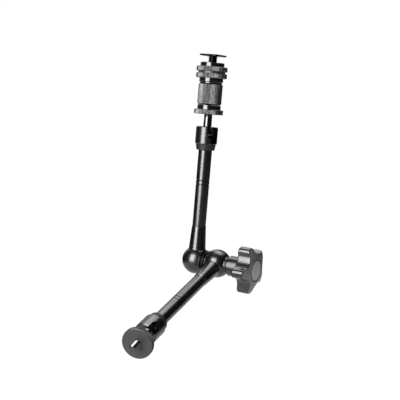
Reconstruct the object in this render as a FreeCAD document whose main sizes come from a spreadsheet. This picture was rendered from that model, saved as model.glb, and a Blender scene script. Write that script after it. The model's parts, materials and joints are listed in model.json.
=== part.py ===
import FreeCAD, Part
import math
import os
import re
import Sketcher

doc = FreeCAD.newDocument("FrictionArm")
dims = doc.addObject("Spreadsheet::Sheet", "Dims")

# Driving sizes in millimetres and degrees, read from the elbow axis outwards
SIZES = [
    ("elbow_angle", "111.4", "angle between the two arms as photographed"),
    ("arm_spacing", "21.4", "distance between the two arm axes along the elbow axis"),
    ("knuckle_dia", "25.2", "elbow sphere"),
    ("mating_step", "2.6", "flat mating collar set back from the sphere"),
    ("washer_thick", "1.6", "friction washer between the knuckles"),
    ("washer_step", "0.4", "friction washer set back from the mating collars"),
    ("pole_boss_dia", "15.3", "flat boss under the knob on the lower knuckle"),
    ("pole_boss_rise", "0.988", "how far that boss stands out of the sphere"),
    ("thrust_thick", "1.2", "thrust washer under the knob hub"),
    ("cone_base_dia", "15", "base of the coned knuckle neck"),
    ("cone_base_rise", "1.075", "how far that base lies above the sphere"),
    ("seam_lip", "0.25", "knuckle neck standing out over the tube at the seam"),
    ("root_fillet", "1.6", "fillet between knuckle sphere and neck"),
    ("knuckle_neck", "18.9", "sphere to the seam between knuckle and tube"),
    ("tube_dia", "12", "arm tube outside diameter"),
    ("tube_wall", "2", "wall of the arm tube"),
    ("spigot_length", "9", "engagement of each spigot"),
    ("tube_length", "67.9", "arm tube between its two seams"),
    ("groove_from_end", "29", "middle of the pair of grip grooves from the collar"),
    ("groove_pitch", "3.7", "distance between the two grooves"),
    ("groove_width", "1", "mouth of one groove"),
    ("groove_depth", "0.45", "depth of one groove"),
    ("collar_length", "5.5", "collar ring between tube and socket"),
    ("collar_tip_dia", "16.3", "collar at the tube side"),
    ("collar_dia", "17.9", "collar at the socket side"),
    ("rim_rise", "5.8", "socket rim over the centre of the ball"),
    ("upper_head_dia", "19.5", "upper ball socket outside diameter"),
    ("lower_head_dia", "19.5", "lower ball socket outside diameter"),
    ("head_edge", "0.5", "chamfer on the socket edges"),
    ("mouth_edge", "0.6", "chamfer inside the socket mouth"),
    ("ball_dia", "14", "ball"),
    ("seat_step", "0.1", "step between the socket bore and the spherical seat"),
    ("neck_gap", "0.3", "least radial room of the neck in the mouth"),
    ("ball_gap", "0.06", "radial clearance of the ball in its seat"),
    ("slot_gap", "0.35", "room of the neck at each side of the slot"),
    ("upper_slot_turn", "-36", "slot direction of the upper socket from the knob side"),
    ("lower_slot_turn", "39", "slot direction of the lower socket from the knob side"),
    ("stud_tilt", "15", "tilt of the lower ball stud along its slot as photographed"),
    ("neck_dia", "7.3", "ball neck"),
    ("neck_length", "16.7", "ball centre to shoulder"),
    ("thread_dia", "6.35", "quarter inch thread"),
    ("bare_length", "10", "bare thread outside the lower lock nut"),
    ("thread_edge", "0.7", "chamfer on a thread end"),
    ("relief_width", "0.5", "thread relief under the outer face of the lower lock nut"),
    ("relief_depth", "0.35", "depth of that relief"),
    ("relief_inset", "0.1", "full thread between that relief and the nut face"),
    ("running_gap", "0.05", "radial clearance of a running fit"),
    ("face_gap", "0.1", "clearance between faces that turn on each other"),
    ("rod_dia", "5", "push rod"),
    ("shoe_gap", "0.46", "radial room of the ball shoe in the socket"),
    ("shoe_room", "0.6", "room under the ball shoe when locked"),
    ("shoe_web", "0.84", "thickness of the ball shoe under the ball"),
    ("shoe_height", "3.8", "ball shoe cup without its stem"),
    ("shoe_stem_dia", "8.2", "stem of the ball shoe"),
    ("shoe_stem_floor", "4", "depth of the well for that stem below the collar's socket side"),
    ("rod_pocket", "1.6", "depth of the rod end in the ball shoe"),
    ("collar_pilot", "1", "height of the collar's pilot inside the socket"),
    ("nut_dia", "25.8", "lock nut flange"),
    ("nut_flange", "4.3", "lock nut flange thickness"),
    ("nut_boss_step", "2.45", "lock nut boss set back from the flange"),
    ("nut_boss", "3.9", "lock nut boss height"),
    ("lower_nut_gap", "0.3", "thread left bare under the lower lock nut"),
    ("knurl_depth", "0.35", "depth of the straight knurl"),
    ("knurl_pitch", "1.085", "distance between two ridges of the knurl"),
    ("edge", "0.4", "small edge chamfer"),
    ("body_dia", "21.4", "adapter body"),
    ("body_length", "19", "adapter body without its step"),
    ("body_edge", "0.9", "chamfer at the ends of the adapter body"),
    ("body_step", "0.75", "top step set back from the adapter body"),
    ("step_height", "1", "height of that step"),
    ("stud_room", "1.1", "room over the upper stud in the adapter body"),
    ("foot_thread_dia", "8", "threaded post of the shoe foot"),
    ("hole_room", "0.4", "room between a thread end and the floor of its hole"),
    ("body_web", "1.4", "wall between the two holes of the adapter body"),
    ("ring_dia", "27.4", "knurled ring of the shoe nuts"),
    ("ring_height", "4.3", "knurled ring height"),
    ("ring_boss_step", "3.1", "smooth boss set back from the ring"),
    ("ring_boss", "3.5", "smooth boss height"),
    ("ring_step_back", "1.8", "step on the other face, set back from the ring"),
    ("ring_step", "0.7", "height of that step"),
    ("rail_room", "5.6", "room between the upper shoe nut and the foot plate"),
    ("plate_width", "18.6", "square foot plate"),
    ("plate_thick", "1.4", "foot plate thickness"),
    ("plate_corner", "2.6", "corner radius of the foot plate"),
    ("foot_angle", "-3", "turn of the foot plate as photographed"),
    ("plate_edge", "0.25", "edge chamfer of the foot plate"),
    ("spindle_head_dia", "10.8", "round head of the draw spindle"),
    ("journal_dia", "8.4", "plain part of the draw spindle"),
    ("flat_depth", "0.6", "depth of each of the two flats that stop it turning"),
    ("spindle_thread", "6", "threaded end of the draw spindle"),
    ("wedge_half", "2.4", "half length of each wedge cone"),
    ("head_room", "1.5", "how far the spindle head lies inside the pole"),
    ("spindle_travel", "1", "draw of the spindle for one turn of the knob"),
    ("head_socket", "4", "width over flats of the hexagon socket"),
    ("head_socket_depth", "2.4", "depth of the hexagon socket"),
    ("thread_bore_gap", "0.3", "clearance of the spindle thread in the knuckle"),
    ("hub_dia", "18", "knob hub"),
    ("hub_cone", "0.8", "how much narrower the hub's coned end is at each side"),
    ("hub_cone_length", "1.4", "length of that cone"),
    ("hub_length", "13", "knob hub without its spigot"),
    ("hub_spigot_dia", "12", "hub spigot inside the knob"),
    ("knob_web", "2.3", "knob between the hub and the stem of the cap"),
    ("spindle_short", "1.3", "spindle end short of the end of the hub"),
    ("knob_dia", "42.8", "over the lobes of the star knob"),
    ("dome_rise", "3.2", "dome over the lobe sides"),
    ("knob_height", "13.8", "back to the top of the dome"),
    ("knob_back_edge", "0.9", "back edge chamfer of the knob"),
    ("lobe_count", "5", "lobes of the star knob"),
    ("knob_angle", "57", "turn of the star knob as photographed"),
    ("scallop_dia", "21", "hollow between two lobes"),
    ("valley_dia", "28.4", "over the floors of the hollows"),
    ("lobe_round", "3.6", "rounding of the lobe corners"),
    ("cap_recess_dia", "19.6", "recess for the knob cap"),
    ("cap_dia", "18.2", "knob cap"),
    ("cap_thick", "1.7", "knob cap"),
    ("cap_stem_dia", "7", "stem of the knob cap"),
    ("cap_stem", "2.2", "length of that stem"),
    ("cap_crown", "0.45", "crown of the knob cap"),
]

# Sizes that follow from the ones above
DERIVED = [
    ("mating_dia", "=knuckle_dia - 2 * mating_step"),
    ("washer_dia", "=mating_dia - 2 * washer_step"),
    ("tube_bore", "=tube_dia - 2 * tube_wall"),
    ("cone_tip_dia", "=tube_dia + 2 * seam_lip"),
    ("cone_base_reach", "=sqrt(knuckle_dia ^ 2 - cone_base_dia ^ 2) / 2 + cone_base_rise"),
    ("pole_reach", "=sqrt(knuckle_dia ^ 2 - pole_boss_dia ^ 2) / 2 + pole_boss_rise"),
    ("mate_reach", "=arm_spacing / 2 - washer_thick / 2"),
    ("seam_reach", "=knuckle_dia / 2 + knuckle_neck"),
    ("neck_taper", "=(cone_base_dia - cone_tip_dia) / (seam_reach - cone_base_reach)"),
    ("neck_root_dia", "=cone_base_dia + neck_taper * cone_base_reach"),
    ("tube_reach", "=seam_reach + tube_length"),
    ("groove_reach", "=tube_reach - groove_from_end"),
    ("collar_reach", "=tube_reach + collar_length"),
    ("ball_seat_dia", "=ball_dia + 2 * ball_gap"),
    ("socket_bore", "=ball_seat_dia + 2 * seat_step"),
    ("shoe_dia", "=socket_bore - 2 * shoe_gap"),
    ("shoe_floor", "=collar_reach + collar_pilot + shoe_room"),
    ("ball_reach", "=shoe_floor + shoe_web + ball_seat_dia / 2"),
    ("rim_reach", "=ball_reach + rim_rise"),
    ("slot_width", "=neck_dia + 2 * slot_gap"),
    ("shoulder_reach", "=ball_reach + neck_length"),
    ("nut_height", "=nut_flange + nut_boss"),
    ("nut_boss_dia", "=nut_dia - 2 * nut_boss_step"),
    ("bare_thread", "=neck_length + lower_nut_gap + nut_height"),
    ("thread_end", "=bare_thread + bare_length"),
    ("body_start", "=shoulder_reach + nut_height + 2 * face_gap"),
    ("step_dia", "=body_dia - 2 * body_step"),
    ("body_top", "=body_start + body_length + step_height"),
    ("lower_hole_depth", "=ball_reach + thread_end - body_start + stud_room"),
    ("foot_hole_depth", "=body_length + step_height - lower_hole_depth - body_web"),
    ("ring_boss_dia", "=ring_dia - 2 * ring_boss_step"),
    ("ring_step_dia", "=ring_dia - 2 * ring_step_back"),
    ("ring_nut_height", "=ring_boss + ring_height + ring_step"),
    ("jam_start", "=body_top + face_gap"),
    ("shoe_nut_start", "=jam_start + ring_nut_height + face_gap"),
    ("plate_reach", "=shoe_nut_start + ring_nut_height + rail_room"),
    ("post_start", "=body_top - foot_hole_depth + hole_room"),
    ("stem_floor", "=collar_reach - shoe_stem_floor"),
    ("stem_start", "=stem_floor + shoe_room"),
    ("rod_end", "=stem_start + rod_pocket"),
    ("journal_flats", "=journal_dia - 2 * flat_depth"),
    ("wedge_slope_upper", "=(spindle_head_dia - journal_dia) / (4 * wedge_half)"),
    ("wedge_slope_lower", "=(journal_dia - spindle_thread) / (4 * wedge_half)"),
    ("upper_nose", "=(spindle_head_dia + journal_dia) / 4 + rod_dia / 2 * sqrt(1 + wedge_slope_upper ^ 2)"),
    ("lower_nose", "=(journal_dia + spindle_thread) / 4 + rod_dia / 2 * sqrt(1 + wedge_slope_lower ^ 2)"),
    ("pole_start", "=-arm_spacing - knuckle_dia / 2"),
    ("hub_start", "=pole_reach + thrust_thick + face_gap"),
    ("knob_back", "=hub_start + hub_length"),
    ("knob_side", "=knob_height - dome_rise"),
    ("hub_spigot", "=knob_height - cap_thick - cap_stem - knob_web - hole_room"),
    ("spindle_end", "=knob_back + hub_spigot - spindle_short"),
    ("scallop_reach", "=valley_dia / 2 + scallop_dia / 2"),
    ("dome_run", "=(knob_dia - cap_recess_dia) / 2"),
]

row = 0
for entry in SIZES:
    row += 1
    dims.set("A%d" % row, entry[0])
    dims.set("B%d" % row, entry[1])
    dims.set("C%d" % row, entry[2])
    dims.setAlias("B%d" % row, entry[0])
doc.recompute()
for entry in DERIVED:
    row += 1
    dims.set("A%d" % row, entry[0])
    dims.set("B%d" % row, entry[1])
    dims.setAlias("B%d" % row, entry[0])
    doc.recompute()
NAMES = [entry[0] for entry in SIZES + DERIVED]


def linked(text):
    """Expression with each named size pointed at the sheet."""
    return re.sub(r"[a-z_]{3,}", lambda m: "Dims." + m.group(0) if m.group(0) in NAMES else m.group(0), text)


def value(text):
    """Number that an expression in named sizes gives."""
    return float(dims.evalExpression(text))


def bind(thing, prop, text):
    """Ties one property of an object to the sheet."""
    thing.setExpression(prop, linked(text))


def plane_of(body, role):
    """Origin plane of a body, found by its role."""
    return [p for p in body.Origin.OriginFeatures if p.Role == role][0]


def sketch_on(body, label, role):
    """Empty sketch on an origin plane of its body."""
    sketch = body.newObject("Sketcher::SketchObject", label)
    sketch.AttachmentSupport = (plane_of(body, role), [""])
    sketch.MapMode = "FlatFace"
    return sketch


def pin_point(sketch, index, end, across, up):
    """Holds one point of a sketch at two expressions."""
    if across == "0":
        sketch.addConstraint(Sketcher.Constraint("PointOnObject", index, end, -2))
    else:
        sketch.addConstraint(Sketcher.Constraint("DistanceX", -1, 1, index, end, value(across)))
        bind(sketch, "Constraints[%d]" % (sketch.ConstraintCount - 1), across)
    if up == "0":
        sketch.addConstraint(Sketcher.Constraint("PointOnObject", index, end, -1))
    else:
        sketch.addConstraint(Sketcher.Constraint("DistanceY", -1, 1, index, end, value(up)))
        bind(sketch, "Constraints[%d]" % (sketch.ConstraintCount - 1), up)


def outline(sketch, points):
    """Closed outline whose corners are all held by named sizes."""
    count = len(points)
    places = [FreeCAD.Vector(value(p[0]), value(p[1]), 0) for p in points]
    for i in range(count):
        sketch.addGeometry(Part.LineSegment(places[i], places[(i + 1) % count]))
    for i in range(count):
        sketch.addConstraint(Sketcher.Constraint("Coincident", i, 2, (i + 1) % count, 1))
    for i in range(count):
        pin_point(sketch, i, 1, points[i][0], points[i][1])


def turned(label, points):
    """Body turned about its own Z axis from radius and height pairs."""
    body = doc.addObject("PartDesign::Body", label)
    sketch = sketch_on(body, label + "_section", "XZ_Plane")
    outline(sketch, points)
    turn = body.newObject("PartDesign::Revolution", label + "_turn")
    turn.Profile = sketch
    turn.ReferenceAxis = (sketch, ["V_Axis"])
    turn.Angle = 360
    doc.recompute()
    body.Tip = turn
    return body


def feature(body, kind, label, sizes, base=(0, 0, 0), turn=None):
    """Primitive added to or taken from a body, with its sizes and place tied to the sheet."""
    item = body.newObject("PartDesign::" + kind, label)
    item.MapMode = "Deactivated"
    if turn is not None:
        item.Placement = FreeCAD.Placement(FreeCAD.Vector(0, 0, 0), turn)
    for prop in sizes:
        bind(item, prop, sizes[prop])
    for axis, text in zip("xyz", base):
        if text != 0:
            bind(item, "Placement.Base." + axis, text)
    doc.recompute()
    body.Tip = item
    return item


def solid(kind, label, sizes, base=(0, 0, 0), turn=None):
    """Primitive standing alone, with its sizes and place tied to the sheet."""
    item = doc.addObject("Part::" + kind, label)
    if turn is not None:
        item.Placement = FreeCAD.Placement(FreeCAD.Vector(0, 0, 0), turn)
    for prop in sizes:
        bind(item, prop, sizes[prop])
    for axis, text in zip("xyz", base):
        if text != 0:
            bind(item, "Placement.Base." + axis, text)
    return item


def joined(label, shapes):
    """Fusion of several solids."""
    item = doc.addObject("Part::MultiFuse", label)
    item.Shapes = shapes
    item.Refine = True
    return item


def taken(label, base, tool):
    """One solid less another."""
    item = doc.addObject("Part::Cut", label)
    item.Base = base
    item.Tool = tool
    item.Refine = True
    return item


def shared(label, shapes):
    """What several solids have in common."""
    item = doc.addObject("Part::MultiCommon", label)
    item.Shapes = shapes
    return item


ALONG_X = FreeCAD.Rotation(FreeCAD.Vector(0, 1, 0), 90)
AGAINST_X = FreeCAD.Rotation(FreeCAD.Vector(0, 1, 0), -90)

# Frames of the lower stud and the two arms: the origin lies on the stud's axis in the lock nut's outer face
lower_turn = FreeCAD.Rotation(FreeCAD.Vector(1, 0, 0), value("elbow_angle"))
slot_turn = FreeCAD.Rotation(FreeCAD.Vector(0, 0, 1), value("lower_slot_turn"))
tilt_turn = FreeCAD.Rotation(FreeCAD.Vector(0, 1, 0), value("stud_tilt"))
stud_turn = lower_turn.multiply(slot_turn).multiply(tilt_turn).multiply(slot_turn.inverted())
ball_centre = stud_turn.multVec(FreeCAD.Vector(0, 0, -value("bare_thread")))
elbow = ball_centre - lower_turn.multVec(FreeCAD.Vector(0, 0, value("ball_reach")))
STUD = FreeCAD.Placement(ball_centre, stud_turn)
LOWER = FreeCAD.Placement(elbow, lower_turn)
UPPER = FreeCAD.Placement(elbow - FreeCAD.Vector(value("arm_spacing"), 0, 0), FreeCAD.Rotation())
nodes = []


def keep(item, label, frame, inner=None):
    """Names a finished piece and sets it in its frame."""
    item.Label = label
    item.Placement = frame if inner is None else frame.multiply(inner)
    nodes.append(item)


def lifted(text, turn=None):
    """Place on an arm's axis at a named reach."""
    return FreeCAD.Placement(FreeCAD.Vector(0, 0, value(text)), FreeCAD.Rotation() if turn is None else turn)


# Knuckles: sphere, coned neck with a spigot, flat mating collar and the bores of spindle and rod
def knuckle(arm, side):
    toward = ALONG_X if side > 0 else AGAINST_X
    away = AGAINST_X if side > 0 else ALONG_X
    ball = solid("Sphere", arm + "_knuckle_ball", {"Radius": "knuckle_dia / 2"})
    neck = turned(arm + "_knuckle_neck", [
        ("0", "0"), ("neck_root_dia / 2", "0"), ("cone_tip_dia / 2", "seam_reach - edge"), ("cone_tip_dia / 2 - edge", "seam_reach"),
        ("tube_bore / 2", "seam_reach"), ("tube_bore / 2", "seam_reach + spigot_length"),
        ("0", "seam_reach + spigot_length")])
    blank = joined(arm + "_knuckle_blank", [ball, neck])
    doc.recompute()
    rings = []
    low = value("cone_base_reach / 2")
    high = value("cone_base_reach + edge")
    for number, edge in enumerate(blank.Shape.Edges, 1):
        level = edge.BoundBox
        if level.ZLength < 0.01 and low < level.ZMin < high:
            rings.append((number, level.ZMin))
    rings.sort(key=lambda r: r[1])
    rounded = doc.addObject("Part::Fillet", arm + "_knuckle_rounded")
    rounded.Base = blank
    rounded.Edges = [(rings[0][0], value("root_fillet"), value("root_fillet"))]
    collar = solid("Cylinder", arm + "_mating_collar",
                   {"Radius": "mating_dia / 2", "Height": "mate_reach"}, turn=toward)
    parts = [rounded, collar]
    if side < 0:
        parts.append(solid("Cylinder", arm + "_pole_boss",
                           {"Radius": "pole_boss_dia / 2", "Height": "pole_reach"}, turn=away))
    whole = joined(arm + "_knuckle_whole", parts)
    start = "mate_reach" if side > 0 else "-mate_reach"
    trims = [solid("Cylinder", arm + "_mating_face", {"Radius": "knuckle_dia", "Height": "knuckle_dia"},
                   (start, 0, 0), toward)]
    rod = solid("Cylinder", arm + "_rod_bore",
                {"Radius": "rod_dia / 2 + running_gap", "Height": "seam_reach + spigot_length + edge"})
    length = "mate_reach + wedge_half + hole_room" if side > 0 else "2 * (wedge_half + hole_room)"
    bore = solid("Cylinder", arm + "_journal_bore",
                 {"Radius": "journal_dia / 2 + running_gap", "Height": length},
                 ("mate_reach" if side > 0 else "wedge_half + hole_room", 0, 0), AGAINST_X)
    if side > 0:
        head = solid("Cylinder", arm + "_head_bore",
                     {"Radius": "spindle_head_dia / 2 + running_gap", "Height": "knuckle_dia"},
                     ("wedge_half - knuckle_dia + hole_room", 0, 0), ALONG_X)
        trims.append(head)
    else:
        trims += [solid("Cylinder", arm + "_pole_face", {"Radius": "knuckle_dia", "Height": "knuckle_dia"},
                        ("pole_reach", 0, 0), ALONG_X),
                  solid("Cylinder", arm + "_thread_bore",
                        {"Radius": "spindle_thread / 2 + thread_bore_gap", "Height": "knuckle_dia"},
                        turn=ALONG_X)]
        full = solid("Cylinder", arm + "_flat_round",
                     {"Radius": "journal_dia / 2 + running_gap",
                      "Height": "mate_reach - wedge_half - hole_room"},
                     ("-mate_reach", 0, 0), ALONG_X)
        block = solid("Box", arm + "_flat_block",
                      {"Length": "mate_reach", "Width": "journal_flats + 2 * running_gap",
                       "Height": "journal_dia * 2"},
                      ("-mate_reach", "-journal_flats / 2 - running_gap", "-journal_dia"))
        trims.append(shared(arm + "_flat_bore", [full, block]))
    return taken(arm + "_knuckle_cut", whole, joined(arm + "_knuckle_bores", trims + [rod, bore]))


keep(knuckle("lower", -1), "lower_knuckle", LOWER)
keep(knuckle("upper", 1), "upper_knuckle", UPPER)


# Tubes with the pair of grip grooves
def tube(arm):
    body = turned(arm + "_tube", [
        ("tube_bore / 2", "seam_reach"), ("tube_dia / 2 - edge / 2", "seam_reach"),
        ("tube_dia / 2", "seam_reach + edge / 2"),
        ("tube_dia / 2", "tube_reach - edge / 2"), ("tube_dia / 2 - edge / 2", "tube_reach"),
        ("tube_bore / 2", "tube_reach")])
    for tag, sign in (("near", "-"), ("far", "+")):
        middle = "groove_reach %s groove_pitch / 2" % sign
        sketch = sketch_on(body, arm + "_groove_" + tag, "XZ_Plane")
        outline(sketch, [
            ("tube_dia / 2 - groove_depth", middle + " - groove_width / 4"),
            ("tube_dia / 2 + groove_depth", middle + " - groove_width / 2"),
            ("tube_dia / 2 + groove_depth", middle + " + groove_width / 2"),
            ("tube_dia / 2 - groove_depth", middle + " + groove_width / 4")])
        groove = body.newObject("PartDesign::Groove", arm + "_groove_cut_" + tag)
        groove.Profile = sketch
        groove.ReferenceAxis = (sketch, ["V_Axis"])
        groove.Angle = 360
        doc.recompute()
        body.Tip = groove
    return body


keep(tube("lower"), "lower_tube", LOWER)
keep(tube("upper"), "upper_tube", UPPER)


# Collars: a spigot in the tube, a coned ring, a pilot in the socket and a well for the ball shoe
def collar(arm):
    return turned(arm + "_collar", [
        ("rod_dia / 2 + running_gap", "tube_reach - spigot_length"),
        ("tube_bore / 2", "tube_reach - spigot_length"), ("tube_bore / 2", "tube_reach"),
        ("collar_tip_dia / 2 - edge", "tube_reach"),
        ("collar_tip_dia / 2", "tube_reach + edge"), ("collar_dia / 2", "collar_reach - edge / 2"),
        ("collar_dia / 2 - edge / 2", "collar_reach"), ("socket_bore / 2", "collar_reach"),
        ("socket_bore / 2", "collar_reach + collar_pilot"),
        ("shoe_stem_dia / 2 + running_gap", "collar_reach + collar_pilot"),
        ("shoe_stem_dia / 2 + running_gap", "stem_floor"), ("rod_dia / 2 + running_gap", "stem_floor")])


keep(collar("lower"), "lower_collar", LOWER)
keep(collar("upper"), "upper_collar", UPPER)


# Ball sockets: spherical seat closed over the ball, bored through behind it, side slot for the neck
def socket(arm):
    head = arm + "_head_dia / 2"
    body = turned(arm + "_socket", [
        ("socket_bore / 2", "collar_reach"), (head + " - head_edge", "collar_reach"),
        (head, "collar_reach + head_edge"),
        (head, "rim_reach - head_edge"), (head + " - head_edge", "rim_reach"),
        ("neck_dia / 2 + neck_gap + mouth_edge", "rim_reach"),
        ("neck_dia / 2 + neck_gap", "rim_reach - mouth_edge"),
        ("neck_dia / 2 + neck_gap", "ball_reach"), ("socket_bore / 2", "ball_reach")])
    feature(body, "SubtractiveSphere", arm + "_seat", {"Radius": "ball_seat_dia / 2"}, (0, 0, "ball_reach"))
    turn = FreeCAD.Rotation(FreeCAD.Vector(0, 0, 1), value(arm + "_slot_turn"))
    plane = sketch_on(body, arm + "_slot_plan", "YZ_Plane")
    half = "slot_width / 2"
    top = FreeCAD.Vector(value(half), value("rim_reach + edge"), 0)
    low = FreeCAD.Vector(value(half), value("ball_reach"), 0)
    mid = FreeCAD.Vector(0, value("ball_reach"), 0)
    plane.addGeometry(Part.LineSegment(low, top))
    plane.addGeometry(Part.LineSegment(top, FreeCAD.Vector(-top.x, top.y, 0)))
    plane.addGeometry(Part.LineSegment(FreeCAD.Vector(-top.x, top.y, 0), FreeCAD.Vector(-low.x, low.y, 0)))
    round_end = Part.Circle(mid, FreeCAD.Vector(0, 0, 1), value(half))
    plane.addGeometry(Part.ArcOfCircle(round_end, math.pi, 2 * math.pi))
    for first, last in ((0, 1), (1, 2), (2, 3)):
        plane.addConstraint(Sketcher.Constraint("Coincident", first, 2, last, 1))
    plane.addConstraint(Sketcher.Constraint("Coincident", 3, 2, 0, 1))
    pin_point(plane, 0, 1, half, "ball_reach")
    pin_point(plane, 0, 2, half, "rim_reach + edge")
    pin_point(plane, 2, 1, "-slot_width / 2", "rim_reach + edge")
    pin_point(plane, 3, 3, "0", "ball_reach")
    plane.addConstraint(Sketcher.Constraint("DistanceY", -1, 1, 3, 1, value("ball_reach")))
    bind(plane, "Constraints[%d]" % (plane.ConstraintCount - 1), "ball_reach")
    pocket = body.newObject("PartDesign::Pocket", arm + "_slot")
    pocket.Profile = plane
    pocket.Type = 0
    bind(pocket, "Length", arm + "_head_dia")
    doc.recompute()
    if pocket.Shape.isInside(FreeCAD.Vector(value(head) - 0.5, 0, value("ball_reach")), 0.01, True):
        pocket.Reversed = True
        doc.recompute()
    body.Tip = pocket
    return body, FreeCAD.Placement(FreeCAD.Vector(0, 0, 0), turn)


for arm, frame in (("lower", LOWER), ("upper", UPPER)):
    piece, twist = socket(arm)
    keep(piece, arm + "_socket", frame, twist)


# Push rods with a round nose on the wedge cone and a flat end in the ball shoe
def push_rod(arm):
    nose = arm + "_nose"
    body = turned(arm + "_push_rod", [
        ("0", nose), ("rod_dia / 2", nose), ("rod_dia / 2", "rod_end - edge"),
        ("rod_dia / 2 - edge", "rod_end"), ("0", "rod_end")])
    feature(body, "AdditiveSphere", arm + "_rod_nose", {"Radius": "rod_dia / 2"}, (0, 0, nose))
    return body


# Ball shoes: a cup behind each ball
def ball_shoe(arm):
    body = turned(arm + "_ball_shoe", [
        ("0", "rod_end"), ("rod_dia / 2", "rod_end"), ("rod_dia / 2", "stem_start"),
        ("shoe_stem_dia / 2", "stem_start"), ("shoe_stem_dia / 2", "shoe_floor"),
        ("shoe_dia / 2 - edge", "shoe_floor"), ("shoe_dia / 2", "shoe_floor + edge"),
        ("shoe_dia / 2", "shoe_floor + shoe_height"), ("0", "shoe_floor + shoe_height")])
    feature(body, "SubtractiveSphere", arm + "_cup", {"Radius": "ball_seat_dia / 2"}, (0, 0, "ball_reach"))
    return body


# Ball studs: ball, neck, shoulder and quarter inch thread
def ball_stud(arm):
    body = turned(arm + "_ball_stud", [
        ("0", "0"), ("neck_dia / 2", "0"), ("neck_dia / 2", "neck_length - edge"),
        ("neck_dia / 2 - edge", "neck_length"), ("thread_dia / 2", "neck_length"),
        ("thread_dia / 2", "bare_thread - relief_inset - relief_width"),
        ("thread_dia / 2 - relief_depth", "bare_thread - relief_inset - relief_width"),
        ("thread_dia / 2 - relief_depth", "bare_thread - relief_inset"),
        ("thread_dia / 2", "bare_thread - relief_inset"),
        ("thread_dia / 2", "thread_end - thread_edge"), ("thread_dia / 2 - thread_edge", "thread_end"),
        ("0", "thread_end")])
    feature(body, "AdditiveSphere", arm + "_ball", {"Radius": "ball_dia / 2"})
    return body


for arm, frame in (("lower", LOWER), ("upper", UPPER)):
    keep(push_rod(arm), arm + "_push_rod", frame)
    keep(ball_shoe(arm), arm + "_ball_shoe", frame)
keep(ball_stud("lower"), "lower_ball_stud", STUD)
keep(ball_stud("upper"), "upper_ball_stud", UPPER, lifted("ball_reach"))


# Straight knurl: a toothed prism cut to the wanted band
def knurled(radius, low, high):
    depth = value("knurl_depth")
    teeth = int(round(2 * math.pi * radius / value("knurl_pitch")))
    corners = []
    for i in range(2 * teeth):
        angle = math.pi * i / teeth
        reach = radius if i % 2 == 0 else radius - depth
        corners.append(FreeCAD.Vector(reach * math.cos(angle), reach * math.sin(angle), low))
    corners.append(corners[0])
    return Part.Face(Part.makePolygon(corners)).extrude(FreeCAD.Vector(0, 0, high - low))


def lathe(points):
    """Turned solid from radius and height pairs, for pieces that carry a knurl."""
    corners = [FreeCAD.Vector(p[0], 0, p[1]) for p in points]
    face = Part.Face(Part.makePolygon(corners + [corners[0]]))
    return face.revolve(FreeCAD.Vector(0, 0, 0), FreeCAD.Vector(0, 0, 1), 360)


def knurled_piece(label, band, outer, bores):
    """Knurled band joined to its smooth steps and bored through."""
    shape = knurled(*band).fuse(lathe(outer)).removeSplitter()
    for radius, low, high in bores:
        shape = shape.cut(Part.makeCylinder(radius, high - low, FreeCAD.Vector(0, 0, low)))
    item = doc.addObject("Part::Feature", label)
    item.Shape = shape
    return item


def lock_nut(label):
    flange = value("nut_dia / 2")
    root = flange - value("knurl_depth")
    boss = value("nut_boss_dia / 2")
    edge = value("edge")
    thick = value("nut_flange")
    total = value("nut_height")
    return knurled_piece(
        label, (flange, edge, thick - edge),
        [(0, 0), (root - edge, 0), (root, edge), (root, thick - edge), (root - edge, thick), (boss, thick),
         (boss, total - edge), (boss - edge, total), (0, total)],
        [(value("thread_dia / 2 + running_gap"), -1, total + 1)])


def ring_nut(label):
    ring = value("ring_dia / 2")
    root = ring - value("knurl_depth")
    edge = value("edge")
    boss = value("ring_boss_dia / 2")
    step = value("ring_step_dia / 2")
    low = value("ring_boss")
    high = value("ring_boss + ring_height")
    total = value("ring_nut_height")
    return knurled_piece(
        label, (ring, low + edge, high - edge),
        [(0, 0), (boss - edge, 0), (boss, edge), (boss, low), (root - edge, low), (root, low + edge),
         (root, high - edge), (root - edge, high), (step, high), (step, total), (0, total)],
        [(value("foot_thread_dia / 2 + running_gap"), -1, total + 1)])


def adapter_body(label):
    wide = value("body_dia / 2")
    root = wide - value("knurl_depth")
    edge = value("body_edge")
    length = value("body_length")
    step = value("step_dia / 2")
    total = value("body_length + step_height")
    return knurled_piece(
        label, (wide, edge, length - edge),
        [(0, 0), (root - edge, 0), (root, edge), (root, length - edge), (root - edge, length),
         (step, length), (step, total), (0, total)],
        [(value("thread_dia / 2 + running_gap"), -1, value("lower_hole_depth")),
         (value("foot_thread_dia / 2 + running_gap"), total - value("foot_hole_depth"), total + 1)])


TURNED_OVER = FreeCAD.Rotation(FreeCAD.Vector(1, 0, 0), 180)
keep(lock_nut("lower_nut"), "lower_lock_nut", STUD, lifted("bare_thread", TURNED_OVER))
keep(lock_nut("upper_nut"), "upper_lock_nut", UPPER, lifted("shoulder_reach + face_gap"))
keep(adapter_body("adapter"), "adapter_body", UPPER, lifted("body_start"))
keep(ring_nut("jam"), "jam_nut", UPPER, lifted("jam_start"))
keep(ring_nut("clamp"), "shoe_nut", UPPER, lifted("shoe_nut_start + ring_nut_height", TURNED_OVER))


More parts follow.
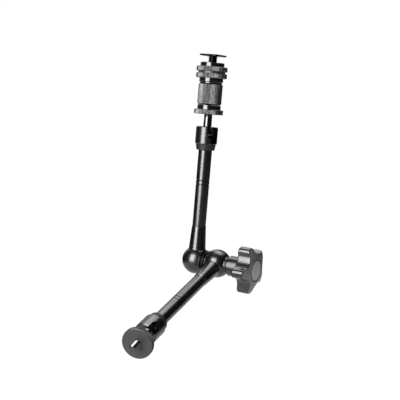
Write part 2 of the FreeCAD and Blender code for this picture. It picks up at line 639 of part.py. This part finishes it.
# Shoe foot: square plate and threaded post in one piece, corner on to the photograph
def shoe_foot():
    plate = solid("Box", "foot_plate",
                  {"Length": "plate_width", "Width": "plate_width", "Height": "plate_thick"},
                  ("-plate_width / 2", "-plate_width / 2", "plate_reach"))
    doc.recompute()
    uprights = []
    for number, edge in enumerate(plate.Shape.Edges, 1):
        if abs(edge.BoundBox.ZLength - value("plate_thick")) < 0.01:
            uprights.append((number, value("plate_corner"), value("plate_corner")))
    rounded = doc.addObject("Part::Fillet", "foot_plate_rounded")
    rounded.Base = plate
    rounded.Edges = uprights
    doc.recompute()
    rims = []
    for number, edge in enumerate(rounded.Shape.Edges, 1):
        if edge.BoundBox.ZLength < 0.01:
            rims.append((number, value("plate_edge"), value("plate_edge")))
    eased = doc.addObject("Part::Chamfer", "foot_plate_eased")
    eased.Base = rounded
    eased.Edges = rims
    post = turned("foot_post", [
        ("0", "post_start"), ("foot_thread_dia / 2 - edge", "post_start"),
        ("foot_thread_dia / 2", "post_start + edge"),
        ("foot_thread_dia / 2", "plate_reach + plate_thick / 2"),
        ("0", "plate_reach + plate_thick / 2")])
    return joined("foot", [eased, post])


foot_turn = FreeCAD.Rotation(FreeCAD.Vector(0, 0, 1), value("foot_angle"))
keep(shoe_foot(), "shoe_foot", UPPER, FreeCAD.Placement(FreeCAD.Vector(0, 0, 0), foot_turn))


# Elbow: draw spindle with a wedge cone for each rod, washers, hub, star knob and cap
def spindle():
    blank = turned("spindle_blank", [
        ("0", "pole_start + head_room"), ("spindle_head_dia / 2 - edge", "pole_start + head_room"),
        ("spindle_head_dia / 2", "pole_start + head_room + edge"),
        ("spindle_head_dia / 2", "-arm_spacing - wedge_half"),
        ("journal_dia / 2", "-arm_spacing + wedge_half"),
        ("journal_dia / 2", "-wedge_half"), ("spindle_thread / 2", "wedge_half"),
        ("spindle_thread / 2", "spindle_end - edge"), ("spindle_thread / 2 - edge", "spindle_end"),
        ("0", "spindle_end")])
    hexagon = solid("Prism", "spindle_socket",
                    {"Circumradius": "head_socket / sqrt(3)", "Height": "head_socket_depth"},
                    (0, 0, "pole_start + head_room"))
    hexagon.Polygon = 6
    cuts = [hexagon]
    for tag, place in (("front", "journal_flats / 2"), ("back", "-journal_flats / 2 - journal_dia")):
        cuts.append(solid("Box", "spindle_flat_" + tag,
                          {"Length": "journal_dia * 2", "Width": "journal_dia",
                           "Height": "mate_reach - wedge_half + spindle_travel"},
                          ("-journal_dia", place, "-mate_reach - running_gap")))
    return taken("spindle", blank, joined("spindle_cuts", cuts))


SPIN = FreeCAD.Placement(FreeCAD.Vector(0, 0, 0), ALONG_X)
keep(spindle(), "elbow_spindle", FreeCAD.Placement(elbow, lower_turn), SPIN)
keep(turned("washer", [
    ("journal_dia / 2 + running_gap", "-arm_spacing / 2 - washer_thick / 2"),
    ("washer_dia / 2", "-arm_spacing / 2 - washer_thick / 2"),
    ("washer_dia / 2", "-arm_spacing / 2 + washer_thick / 2"),
    ("journal_dia / 2 + running_gap", "-arm_spacing / 2 + washer_thick / 2")]),
    "friction_washer", LOWER, SPIN)
keep(turned("thrust", [
    ("spindle_thread / 2 + thread_bore_gap", "pole_reach"), ("pole_boss_dia / 2 - edge / 2", "pole_reach"),
    ("pole_boss_dia / 2", "pole_reach + edge / 2"),
    ("pole_boss_dia / 2", "pole_reach + thrust_thick - edge / 2"),
    ("pole_boss_dia / 2 - edge / 2", "pole_reach + thrust_thick"),
    ("spindle_thread / 2 + thread_bore_gap", "pole_reach + thrust_thick")]), "thrust_washer", LOWER, SPIN)
keep(turned("hub", [
    ("spindle_thread / 2 + running_gap", "hub_start"), ("hub_dia / 2 - hub_cone", "hub_start"),
    ("hub_dia / 2", "hub_start + hub_cone_length"), ("hub_dia / 2", "knob_back"),
    ("hub_spigot_dia / 2", "knob_back"),
    ("hub_spigot_dia / 2", "knob_back + hub_spigot"),
    ("spindle_thread / 2 + running_gap", "knob_back + hub_spigot")]), "knob_hub", LOWER, SPIN)


def knob():
    body = turned("knob", [
        ("hub_spigot_dia / 2", "0"), ("knob_dia / 2 - knob_back_edge", "0"),
        ("knob_dia / 2", "knob_back_edge"), ("knob_dia / 2", "knob_side"),
        ("knob_dia / 2 - dome_run * 0.4", "knob_side + dome_rise * 0.5"),
        ("knob_dia / 2 - dome_run * 0.7", "knob_side + dome_rise * 0.8"),
        ("knob_dia / 2 - dome_run * 0.9", "knob_side + dome_rise * 0.96"),
        ("cap_recess_dia / 2", "knob_height"),
        ("cap_recess_dia / 2", "knob_height - cap_thick"), ("cap_stem_dia / 2", "knob_height - cap_thick"),
        ("cap_stem_dia / 2", "knob_height - cap_thick - cap_stem"),
        ("0", "knob_height - cap_thick - cap_stem"),
        ("0", "hub_spigot + hole_room"), ("hub_spigot_dia / 2", "hub_spigot + hole_room")])
    plan = sketch_on(body, "scallop_plan", "XY_Plane")
    middle = FreeCAD.Vector(value("scallop_reach"), 0, 0)
    plan.addGeometry(Part.Circle(middle, FreeCAD.Vector(0, 0, 1), value("scallop_dia / 2")))
    pin_point(plan, 0, 3, "scallop_reach", "0")
    plan.addConstraint(Sketcher.Constraint("Radius", 0, value("scallop_dia / 2")))
    bind(plan, "Constraints[%d]" % (plan.ConstraintCount - 1), "scallop_dia / 2")
    scallop = body.newObject("PartDesign::Pocket", "scallop")
    scallop.Profile = plan
    scallop.Type = 0
    bind(scallop, "Length", "knob_height + edge")
    doc.recompute()
    before = doc.getObject("knob_turn").Shape.Volume
    if before - scallop.Shape.Volume < 1:
        scallop.Reversed = True
        doc.recompute()
    ring = body.newObject("PartDesign::PolarPattern", "scallops")
    ring.Originals = [scallop]
    ring.Axis = (plan, ["N_Axis"])
    ring.Angle = 360
    bind(ring, "Occurrences", "lobe_count")
    body.Tip = ring
    doc.recompute()
    corners = []
    for number, edge in enumerate(ring.Shape.Edges, 1):
        box = edge.BoundBox
        middle = edge.valueAt((edge.FirstParameter + edge.LastParameter) / 2)
        upright = box.ZLength > value("knob_side / 2") and box.XLength < 0.01
        if upright and math.hypot(middle.x, middle.y) > value("knob_dia / 2") - 0.05:
            corners.append("Edge%d" % number)
    rounded = body.newObject("PartDesign::Fillet", "lobe_rounds")
    rounded.Base = (ring, corners)
    bind(rounded, "Radius", "lobe_round")
    doc.recompute()
    body.Tip = rounded
    return body


knob_spin = FreeCAD.Rotation(FreeCAD.Vector(0, 0, 1), value("knob_angle"))
KNOB_AT = FreeCAD.Placement(FreeCAD.Vector(value("knob_back"), 0, 0), ALONG_X.multiply(knob_spin))
keep(knob(), "star_knob", LOWER, KNOB_AT)
keep(turned("cap", [
    ("0", "knob_height - cap_thick - cap_stem"), ("cap_stem_dia / 2", "knob_height - cap_thick - cap_stem"),
    ("cap_stem_dia / 2", "knob_height - cap_thick"), ("cap_dia / 2", "knob_height - cap_thick"),
    ("cap_dia / 2", "knob_height - edge"), ("cap_dia / 2 - edge", "knob_height"),
    ("cap_dia / 4", "knob_height + cap_crown * 3 / 4"), ("0", "knob_height + cap_crown")]),
    "knob_cap", LOWER, KNOB_AT)

doc.recompute()
os.makedirs("parts", exist_ok=True)
for item in doc.Objects:
    if "Invalid" in item.State or "Error" in item.State:
        raise RuntimeError("not built: " + item.Label)
for item in nodes:
    shape = item.Shape
    if shape.isNull() or not shape.isValid() or len(shape.Solids) != 1:
        raise RuntimeError("bad solid: %s %d" % (item.Label, len(shape.Solids)))
    shape.exportStep("parts/%s.step" % item.Label)
    print(item.Label, round(shape.Volume, 2), [round(v, 2) for v in (
        shape.BoundBox.XMin, shape.BoundBox.XMax, shape.BoundBox.YMin, shape.BoundBox.YMax,
        shape.BoundBox.ZMin, shape.BoundBox.ZMax)])
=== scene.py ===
import json
import math

import bpy
from mathutils import Matrix, Vector

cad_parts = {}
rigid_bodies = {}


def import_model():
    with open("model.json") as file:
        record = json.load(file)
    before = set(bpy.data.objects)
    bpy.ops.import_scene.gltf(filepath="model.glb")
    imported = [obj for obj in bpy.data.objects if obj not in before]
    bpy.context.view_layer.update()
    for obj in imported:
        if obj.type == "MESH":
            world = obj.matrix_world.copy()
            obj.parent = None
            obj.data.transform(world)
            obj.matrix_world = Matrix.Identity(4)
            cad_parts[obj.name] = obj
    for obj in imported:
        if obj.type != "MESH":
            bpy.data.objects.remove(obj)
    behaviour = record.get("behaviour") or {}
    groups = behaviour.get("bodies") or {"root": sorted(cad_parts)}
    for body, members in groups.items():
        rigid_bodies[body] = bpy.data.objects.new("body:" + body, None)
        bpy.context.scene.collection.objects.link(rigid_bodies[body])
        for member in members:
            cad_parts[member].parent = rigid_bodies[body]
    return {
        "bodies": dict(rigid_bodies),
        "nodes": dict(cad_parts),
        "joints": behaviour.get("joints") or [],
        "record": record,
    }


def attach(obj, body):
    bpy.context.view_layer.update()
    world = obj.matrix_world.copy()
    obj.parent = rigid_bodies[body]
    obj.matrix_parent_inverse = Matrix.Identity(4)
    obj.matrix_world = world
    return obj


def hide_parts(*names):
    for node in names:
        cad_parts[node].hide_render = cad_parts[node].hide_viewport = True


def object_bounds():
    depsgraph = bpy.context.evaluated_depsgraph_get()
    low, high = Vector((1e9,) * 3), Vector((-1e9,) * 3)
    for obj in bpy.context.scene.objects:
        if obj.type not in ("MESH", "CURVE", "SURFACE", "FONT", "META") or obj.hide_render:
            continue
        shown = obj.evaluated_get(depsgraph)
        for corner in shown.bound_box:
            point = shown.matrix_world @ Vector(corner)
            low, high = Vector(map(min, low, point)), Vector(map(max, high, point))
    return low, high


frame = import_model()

cad_low, cad_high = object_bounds()
nodes = frame["nodes"]
scene = bpy.context.scene

# Forms are given in millimetres
MM = 0.001

# Frames of the two arms, with Z running along each arm away from the elbow
ELBOW = Vector((-5.0687, 130.6736, 46.8019)) * MM
FOLD = math.radians(111.4)
SPACING = 21.4 * MM
LOWER = Matrix.Translation(ELBOW) @ Matrix.Rotation(FOLD, 4, "X")
UPPER = Matrix.Translation(ELBOW - Vector((SPACING, 0, 0)))
BALL_CENTRE = Matrix.Translation((0, 0, 114.4 * MM))


# Camera at the photograph's angle
def set_camera():
    """Make the camera and return the direction from the part to it."""
    data = bpy.data.cameras.new("photo_camera")
    data.lens = 81
    data.sensor_width = 36
    data.clip_start = 0.01
    data.clip_end = 50
    camera = bpy.data.objects.new("photo_camera", data)
    scene.collection.objects.link(camera)
    right = Vector((0.86726, 0.49102, 0.08221))
    up = Vector((-0.12456, 0.05414, 0.99073))
    back = right.cross(up)
    turn = Matrix((right, up, back)).transposed().to_4x4()
    camera.matrix_world = Matrix.Translation((0.3617, -0.5717, 0.1884)) @ turn
    scene.camera = camera
    return back


TOWARDS_CAMERA = set_camera()
CENTRE = (cad_low + cad_high) / 2


# Soft studio light
def softbox(name, side, height, distance, width, tall, power):
    """Light that faces the part, side degrees round from the camera and height degrees up."""
    data = bpy.data.lights.new(name, "AREA")
    data.shape = "RECTANGLE"
    data.size = width
    data.size_y = tall
    data.energy = power
    lamp = bpy.data.objects.new(name, data)
    scene.collection.objects.link(lamp)
    a = math.radians(side)
    e = math.radians(height)
    flat = Vector((TOWARDS_CAMERA.x, TOWARDS_CAMERA.y, 0)).normalized()
    across = Vector((0, 0, 1)).cross(flat)
    away = (flat * math.cos(a) + across * math.sin(a)) * math.cos(e) + Vector((0, 0, math.sin(e)))
    lamp.location = CENTRE + away * distance
    lamp.rotation_euler = away.to_track_quat("Z", "Y").to_euler()


softbox("key_left", -38, 18, 0.9, 0.66, 1.0, 42)
softbox("top_back", 172, 68, 0.9, 0.6, 0.5, 5)
softbox("top_wide", 172, 62, 1.0, 1.1, 0.9, 7)
softbox("back_left", -160, 24, 1.0, 0.9, 0.8, 2.0)


# Node helpers
def new_nodes(owner):
    owner.use_nodes = True
    tree = owner.node_tree
    tree.nodes.clear()
    return tree


def add_node(tree, kind, inputs=None, **settings):
    """New node, whose inputs are linked where they get a socket and set where they get a value."""
    node = tree.nodes.new(kind)
    for key, value in settings.items():
        setattr(node, key, value)
    for key, value in (inputs or {}).items():
        if isinstance(value, bpy.types.NodeSocket):
            tree.links.new(value, node.inputs[key])
        else:
            node.inputs[key].default_value = value
    return node


def add_range(tree, value, low, high, to_low=0.0, to_high=1.0):
    """Socket that goes from to_low to to_high as the value goes from low to high."""
    ends = {"Value": value, "From Min": low, "From Max": high, "To Min": to_low, "To Max": to_high}
    return add_node(tree, "ShaderNodeMapRange", ends).outputs[0]


def add_bump(tree, height, depth, normal, strength=1):
    bump = add_node(tree, "ShaderNodeBump", {"Strength": strength, "Distance": depth * MM, "Height": height})
    if normal is not None:
        tree.links.new(normal, bump.inputs["Normal"])
    return bump.outputs[0]


# White behind the part, and almost no light from it
def set_world():
    world = bpy.data.worlds.new("studio")
    scene.world = world
    tree = new_nodes(world)
    seen = add_node(tree, "ShaderNodeBackground", {"Color": (1, 1, 1, 1), "Strength": 1.0})
    around = add_node(tree, "ShaderNodeBackground", {"Color": (0.9, 0.95, 1, 1), "Strength": 0.04})
    path = add_node(tree, "ShaderNodeLightPath")
    mix = add_node(tree, "ShaderNodeMixShader",
                   {"Fac": path.outputs["Is Camera Ray"], 1: around.outputs[0], 2: seen.outputs[0]})
    add_node(tree, "ShaderNodeOutputWorld", {"Surface": mix.outputs[0]})
    scene.view_settings.view_transform = "Standard"


# Pale floor, low enough for the upper arm to hang down
def make_floor():
    level = cad_low.z - 240 * MM
    left, right, near, far = -0.8, 1.8, -1.2, 1.9
    corners = [(left, near, level), (right, near, level), (right, far, level), (left, far, level)]
    mesh = bpy.data.meshes.new("floor")
    mesh.from_pydata(corners, [], [(0, 1, 2, 3)])
    floor = bpy.data.objects.new("floor", mesh)
    scene.collection.objects.link(floor)
    material = bpy.data.materials.new("pale_floor")
    tree = new_nodes(material)
    base = add_node(tree, "ShaderNodeBsdfDiffuse", {"Color": (0.1, 0.1, 0.1, 1)})
    glow = add_node(tree, "ShaderNodeEmission", {"Strength": 1.0})
    both = add_node(tree, "ShaderNodeAddShader", {0: base.outputs[0], 1: glow.outputs[0]})
    add_node(tree, "ShaderNodeOutputMaterial", {"Surface": both.outputs[0]})
    mesh.materials.append(material)


set_world()
make_floor()

# Finishes
MOTTLE = 0.15
WORN_EDGE = 0.35
POLISHED_ROUGHNESS = 0.14
RUBBED_METAL = (0.22, 0.22, 0.225, 1)


def rub(tree, paint, share):
    """Colour rubbed down to bare metal by a share."""
    mix = add_node(tree, "ShaderNodeMixRGB", {"Fac": share, "Color1": paint, "Color2": RUBBED_METAL})
    return mix.outputs[0]


def edge_wear(tree, wear):
    """Share that rises to wear along sharp edges."""
    bevel = add_node(tree, "ShaderNodeBevel", {"Radius": WORN_EDGE * MM}, samples=4)
    true = add_node(tree, "ShaderNodeNewGeometry")
    dot = add_node(tree, "ShaderNodeVectorMath", {0: bevel.outputs[0], 1: true.outputs["Normal"]},
                   operation="DOT_PRODUCT")
    return add_range(tree, dot.outputs["Value"], 0.995, 0.9, 0, wear)


def axis_radius(tree, spot):
    """Distance from the frame's Z axis."""
    flat = add_node(tree, "ShaderNodeVectorMath", {0: spot, 1: (1, 1, 0)}, operation="MULTIPLY")
    return add_node(tree, "ShaderNodeVectorMath", {0: flat.outputs[0]}, operation="LENGTH").outputs["Value"]


def surface(name, colour, rough, metal=0.0, specular=0.5, lines=None, lines_depth=0.0, grain=0.0, wear=0.0,
            frame=None, polished=0.0, rounded=0.0, shaded=0.0, grooved=0.0, face=None):
    """Finish with mottled colour and roughness, fine grain, machining lines and rubbed edges.

    Lengths are in millimetres. Within the polished radius of the frame's axis, the surface is smooth and
    free of lines. Rounded softens the ridges of a knurl. Past the gap distance along the frame's X axis, the
    surface turns to black metal that reflects almost nothing, as painted shade in the elbow's gap, and
    within the groove radius likewise as painted shade in a groove. Face is the colour and roughness of what
    looks along the elbow's axis."""
    material = bpy.data.materials.new(name)
    tree = new_nodes(material)
    coords = add_node(tree, "ShaderNodeTexCoord")
    place = add_node(tree, "ShaderNodeMapping", {"Vector": coords.outputs["Object"]})
    if frame is not None:
        back = frame.inverted()
        place.inputs["Location"].default_value = back.translation
        place.inputs["Rotation"].default_value = back.to_euler()
    spot = place.outputs[0]
    base = (*colour, 1)
    roughness = rough
    metallic = metal
    # Face set apart from the sides: painted light on the knob's face, painted shade on the cap's sides
    if face:
        face_colour, face_rough = face
        along = add_node(tree, "ShaderNodeVectorMath", {0: coords.outputs["Normal"], 1: (1, 0, 0)},
                         operation="DOT_PRODUCT")
        front = add_range(tree, along.outputs["Value"], 0.75, 0.93)
        two = add_node(tree, "ShaderNodeMixRGB", {"Fac": front, "Color1": base, "Color2": (*face_colour, 1)})
        base = two.outputs[0]
        roughness = add_range(tree, front, 0, 1, rough, face_rough)
    # Painted shade in the groove: black metal that reflects almost nothing
    if grooved:
        metallic = add_range(tree, axis_radius(tree, spot), grooved * MM, (grooved - 0.08) * MM)
    if polished:
        outside = add_range(tree, axis_radius(tree, spot), (polished - 0.1) * MM, (polished + 0.1) * MM)
        roughness = add_range(tree, outside, 0, 1, POLISHED_ROUGHNESS, rough)
    # Painted shade in the elbow's gap: black metal that reflects almost nothing
    if shaded:
        parts = add_node(tree, "ShaderNodeSeparateXYZ", {0: spot})
        inside = shaded + math.copysign(0.3, shaded)
        metallic = add_range(tree, parts.outputs["X"], shaded * MM, inside * MM)

    patches = add_node(tree, "ShaderNodeTexNoise", {"Vector": spot, "Scale": 55, "Detail": 6})
    tone = add_range(tree, patches.outputs["Fac"], 0.3, 0.7, 1 - MOTTLE, 1 + MOTTLE)
    mottled = add_node(tree, "ShaderNodeMixRGB", {"Fac": 1, "Color1": base, "Color2": tone},
                       blend_type="MULTIPLY")
    paint = mottled.outputs[0]
    uneven = add_node(tree, "ShaderNodeMath", {0: tone, 1: roughness}, operation="MULTIPLY")
    if wear:
        paint = rub(tree, paint, edge_wear(tree, wear))
    normal = None
    if rounded:
        normal = add_node(tree, "ShaderNodeBevel", {"Radius": rounded * MM}, samples=6).outputs[0]
    if lines:
        stretch = add_node(tree, "ShaderNodeMapping", {"Vector": spot, "Scale": lines})
        marks = add_node(tree, "ShaderNodeTexNoise", {"Vector": stretch.outputs[0], "Scale": 1, "Detail": 2})
        strength = 1
        if polished:
            strength = outside
            crests = add_range(tree, marks.outputs["Fac"], 0.5, 0.6, 0, 0.2)
            ridges = add_node(tree, "ShaderNodeMath", {0: crests, 1: outside}, operation="MULTIPLY")
            paint = rub(tree, paint, ridges.outputs[0])
        normal = add_bump(tree, marks.outputs["Fac"], lines_depth, normal, strength)
    if grain:
        sand = add_node(tree, "ShaderNodeTexNoise", {"Vector": spot, "Scale": 900, "Detail": 3})
        normal = add_bump(tree, sand.outputs["Fac"], grain, normal)

    shader = add_node(tree, "ShaderNodeBsdfPrincipled",
                      {"Base Color": paint, "Roughness": uneven.outputs[0], "Metallic": metallic,
                       "Specular IOR Level": specular})
    if normal is not None:
        tree.links.new(normal, shader.inputs["Normal"])
    add_node(tree, "ShaderNodeOutputMaterial", {"Surface": shader.outputs[0]})
    return material


# How the noise is stretched along X, Y and Z: rings round the arm, or ridges along it
TURNED = (40, 40, 9000)
RIDGED = (1300, 1300, 40)


def anodised(name, frame, **where):
    return surface(name, (0.0013, 0.0013, 0.0014), 0.26, lines=TURNED, lines_depth=0.0005, wear=0.03,
                   frame=frame, **where)


def knurled(name, polished):
    return surface(name, (0.003, 0.003, 0.0032), 0.36, lines=RIDGED, lines_depth=0.2, wear=0.05, frame=UPPER,
                   polished=polished, rounded=0.3)


# Arm finishes, with painted shade in the elbow's gap
lower_black_gap_shade = anodised("anodised_lower_gap_shade", LOWER, shaded=-7.9)
upper_black_gap_shade = anodised("anodised_upper_gap_shade", UPPER, shaded=7.9)
# Tubes, with painted shade in the grip grooves
lower_grooved = anodised("grooved_lower", LOWER, grooved=5.94)
upper_grooved = anodised("grooved_upper", UPPER, grooved=5.94)
blasted = surface("blasted_collar", (0.004, 0.004, 0.0042), 0.5, specular=0.25, grain=0.02, wear=0.03)
ring_black = knurled("anodised_ring", 11.2)
body_black = knurled("anodised_body", 10.2)
disc_black = surface("anodised_disc", (0.004, 0.004, 0.0042), 0.48, grain=0.01, wear=0.05)
steel_black = surface("black_oxide", (0.06, 0.06, 0.061), 0.2, metal=1.0, grain=0.003, wear=0.1)
foot_black = surface("black_zinc", (0.01, 0.01, 0.0102), 0.22, metal=1.0, grain=0.003, wear=0.05)
steel_bright = surface("ground_steel", (0.5, 0.5, 0.5), 0.25, metal=1.0, lines=TURNED, lines_depth=0.003)
nylon = surface("nylon", (0.006, 0.006, 0.006), 0.5, specular=0.3, grain=0.01)
# Dark friction washer, made non-reflecting as painted shade in the elbow's gap
washer_gap_shade = surface("friction_ring_gap_shade", (0.01, 0.01, 0.01), 0.6, metal=1.0, grain=0.01)
# Knob: satin face lightened with painted light, glossy black sides
plastic_face_light = surface("knob_plastic", (0.004, 0.004, 0.0042), 0.21, grain=0.002,
                  face=((0.085, 0.085, 0.086), 0.4))
# Cap: grey face, with near-black sides as painted shade in the groove around it
cap_side_shade = surface("cap_plastic", (0.015, 0.015, 0.0152), 0.4, grain=0.012, face=((0.25, 0.25, 0.252), 0.4))


def dress(material, *names):
    for name in names:
        mesh = nodes[name].data
        if mesh.materials:
            mesh.materials[0] = material
        else:
            mesh.materials.append(material)


dress(lower_black_gap_shade, "lower_socket", "lower_knuckle", "knob_hub")
dress(upper_black_gap_shade, "upper_socket", "upper_knuckle")
dress(lower_grooved, "lower_tube")
dress(upper_grooved, "upper_tube")
dress(blasted, "lower_collar", "upper_collar")
dress(ring_black, "upper_lock_nut", "jam_nut", "shoe_nut")
dress(body_black, "adapter_body")
dress(disc_black, "lower_lock_nut")
dress(steel_black, "lower_ball_stud", "upper_ball_stud", "elbow_spindle")
dress(foot_black, "shoe_foot")
dress(steel_bright, "lower_push_rod", "upper_push_rod")
dress(nylon, "lower_ball_shoe", "upper_ball_shoe", "thrust_washer")
dress(washer_gap_shade, "friction_washer")
dress(plastic_face_light, "star_knob")
dress(cap_side_shade, "knob_cap")


# Pieces with finer forms than the solids: threads, the star knob and its cap
def add_piece(name, points, faces, frame, material, body, node):
    """Piece that rides on a body and stands for a node of the same place and size."""
    mesh = bpy.data.meshes.new(name)
    mesh.from_pydata([frame @ (Vector(p) * MM) for p in points], [], faces)
    mesh.polygons.foreach_set("use_smooth", [True] * len(mesh.polygons))
    mesh.update()
    mesh.set_sharp_from_angle(angle=math.radians(38))
    mesh.materials.append(material)
    piece = bpy.data.objects.new(name, mesh)
    scene.collection.objects.link(piece)
    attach(piece, body)
    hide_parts(node)


def ringed(rings, count):
    """Closed skin through rings that give radius and height at an angle, with a point at each end."""
    points = [(0, 0, rings[0](0)[1])]
    for ring in rings:
        for i in range(count):
            angle = 2 * math.pi * i / count
            radius, height = ring(angle)
            points.append((radius * math.cos(angle), radius * math.sin(angle), height))
    points.append((0, 0, rings[-1](0)[1]))
    faces = []
    last = len(points) - 1
    for i in range(count):
        j = (i + 1) % count
        faces.append((0, 1 + j, 1 + i))
        for k in range(len(rings) - 1):
            here = 1 + k * count
            above = here + count
            faces.append((here + i, here + j, above + j, above + i))
        top = 1 + (len(rings) - 1) * count
        faces.append((top + i, top + j, last))
    return points, faces


def plain(radius, height):
    return lambda angle: (radius, height)


def threaded(radius, height, depth, pitch):
    def ring(angle):
        wave = abs(2 * ((height / pitch - angle / (2 * math.pi)) % 1) - 1)
        crest = min(max((wave - 0.12) / 0.74, 0), 1)
        return radius - depth * (1 - crest), height
    return ring


def thread_rings(radius, start, end, depth, pitch, lead_in, lead_out):
    """Right-handed thread that fades in and ends in a chamfer."""
    steps = int((end - start) / pitch * 12)
    rings = []
    for k in range(steps + 1):
        height = start + (end - start) * k / steps
        near = min(1, (height - start) / lead_in)
        far = min(1, (end - height) / lead_out)
        outer = radius - (1 - far) * lead_out
        rings.append(threaded(outer, height, max(0, depth * near - (radius - outer)), pitch))
    return rings


def ball_stud(name, frame, body, node):
    """Ball, neck and quarter-inch thread, with the ball's centre at the frame's origin."""
    ball, neck, thread = 7, 3.65, 3.17
    shoulder, tip = 16.7, 35.2
    rings = []
    meet = math.acos(neck / ball)
    for k in range(1, 33):
        lift = -math.pi / 2 + (math.pi / 2 + meet) * k / 32
        rings.append(plain(ball * math.cos(lift), ball * math.sin(lift)))
    rings += [plain(neck, 7), plain(neck, 16.3), plain(3.6, 16.45), plain(3.5, 16.6), plain(3.35, shoulder),
              plain(thread, shoulder)]
    rings += thread_rings(thread, 16.75, tip, 0.72, 1.27, 1.2, 0.7)
    points, faces = ringed(rings, 72)
    add_piece(name, points, faces, frame, steel_black, body, node)


def shoe_foot(frame):
    """Square plate and threaded post."""
    half, corner_radius, edge = 9.3, 2.6, 0.25
    low, high = 182.3, 183.7
    plan = []
    for corner in range(4):
        for k in range(9):
            angle = math.radians(90 * corner + 90 * k / 8)
            centre = math.radians(90 * corner + 45)
            plan.append((math.copysign(half - corner_radius, math.cos(centre)),
                         math.copysign(half - corner_radius, math.sin(centre)), angle))
    count = len(plan)
    points = []
    for inset, height in ((edge, low), (0, low + edge), (0, high - edge), (edge, high)):
        for x, y, angle in plan:
            reach = corner_radius - inset
            points.append((x + reach * math.cos(angle), y + reach * math.sin(angle), height))
    faces = [tuple(reversed(range(count))), tuple(range(3 * count, 4 * count))]
    for k in range(3):
        for i in range(count):
            j = (i + 1) % count
            faces.append((k * count + i, k * count + j, (k + 1) * count + j, (k + 1) * count + i))
    rings = [plain(3.3, 152.55)]
    rings += thread_rings(3.99, 152.6, 182.2, 0.7, 1.25, 0.6, 0.1)
    rings += [plain(3.7, 182.8)]
    post, skin = ringed(rings, 72)
    shift = len(points)
    points += post
    faces += [tuple(v + shift for v in face) for face in skin]
    add_piece("shoe_foot_detail", points, faces, frame, foot_black, "foot", "shoe_foot")


def star_outline(angle):
    """Reach of the five-lobed outline at an angle, with a hollow at angle zero."""
    outer, hollow, centre, corner = 21.4, 10.5, 24.7, 3.6
    inner = outer - corner
    turn = abs((angle + math.pi / 5) % (2 * math.pi / 5) - math.pi / 5)
    lean = math.acos((inner ** 2 + centre ** 2 - (hollow + corner) ** 2) / (2 * inner * centre))
    share = hollow / (hollow + corner)
    touch_x = centre + (inner * math.cos(lean) - centre) * share
    touch_y = inner * math.sin(lean) * share
    if turn < math.atan2(touch_y, touch_x):
        return centre * math.cos(turn) - math.sqrt(hollow ** 2 - (centre * math.sin(turn)) ** 2)
    if turn < lean:
        off = turn - lean
        return inner * math.cos(off) + math.sqrt(corner ** 2 - (inner * math.sin(off)) ** 2)
    return outer


def dome(radius):
    """Height of the knob's face, level in the middle and falling to the rim."""
    level, width, rim, rise = 9.8, 11.6, 10.6, 3.2
    share = min(max((radius - level) / width, 0), 1)
    return rim + rise * (1 - share ** 1.357)


def star_level(inset, height):
    """Level ring that follows the star outline."""
    return lambda angle: (star_outline(angle) - inset, height)


def star_ring(inset, drop):
    """Ring that follows the star outline, inset from it and dropped below the dome."""
    def ring(angle):
        reach = star_outline(angle) - inset
        return reach, dome(reach) - drop
    return ring


def dome_ring(share):
    """Ring on the dome, part of the way from the cap's seat to the star outline."""
    seat, rim_inset = 9.9, 1.3

    def ring(angle):
        reach = seat + (star_outline(angle) - rim_inset - seat) * share
        return reach, dome(reach)
    return ring


def star_knob(frame):
    bore = [plain(5.9, 7.55), plain(6, 7.45), plain(6, 0.2), plain(6.2, 0)]
    back = [star_level(0.9, 0), star_level(0.55, 0.12), star_level(0.2, 0.45), star_level(0, 0.95),
            star_level(0, 1.1)]
    edge = [star_ring(0, 1.1), star_ring(0, 0.9), star_ring(0.06, 0.6), star_ring(0.22, 0.34),
            star_ring(0.48, 0.14), star_ring(0.85, 0.03)]
    top = [dome_ring(k / 12) for k in range(12, -1, -1)]
    seat = [plain(9.8, 13.7), plain(9.8, 12.12), plain(9.7, 12.1), plain(3.5, 12.1), plain(3.5, 9.9)]
    points, faces = ringed(bore + back + edge + top + seat, 360)
    add_piece("star_knob_detail", points, faces, frame, plastic_face_light, "knob", "star_knob")


def knob_cap(frame):
    rim, crown, foot = 8.75, 0.46, 13.78
    rings = [plain(3.5, 9.9), plain(3.5, 12.1), plain(9.1, 12.1), plain(9.1, 13.45), plain(9.05, 13.62),
             plain(8.92, 13.73), plain(rim, foot)]
    for k in range(1, 16):
        lift = k * math.pi / 32
        rings.append(plain(rim * math.cos(lift), foot + crown * math.sin(lift)))
    points, faces = ringed(rings, 96)
    add_piece("knob_cap_detail", points, faces, frame, cap_side_shade, "knob", "knob_cap")


def turned(degrees, axis):
    return Matrix.Rotation(math.radians(degrees), 4, axis)


# The lower stud stands 15 degrees off its arm, in the plane of the socket's slot
TILT = turned(39, "Z") @ turned(15, "Y") @ turned(-39, "Z")
KNOB = LOWER @ Matrix.Translation((25.3 * MM, 0, 0)) @ turned(90, "Y") @ turned(57, "Z")
ball_stud("lower_ball_stud_detail", LOWER @ BALL_CENTRE @ TILT, "lower_stud", "lower_ball_stud")
ball_stud("upper_ball_stud_detail", UPPER @ BALL_CENTRE, "upper_stud", "upper_ball_stud")
shoe_foot(UPPER @ turned(-3, "Z"))
star_knob(KNOB)
knob_cap(KNOB)
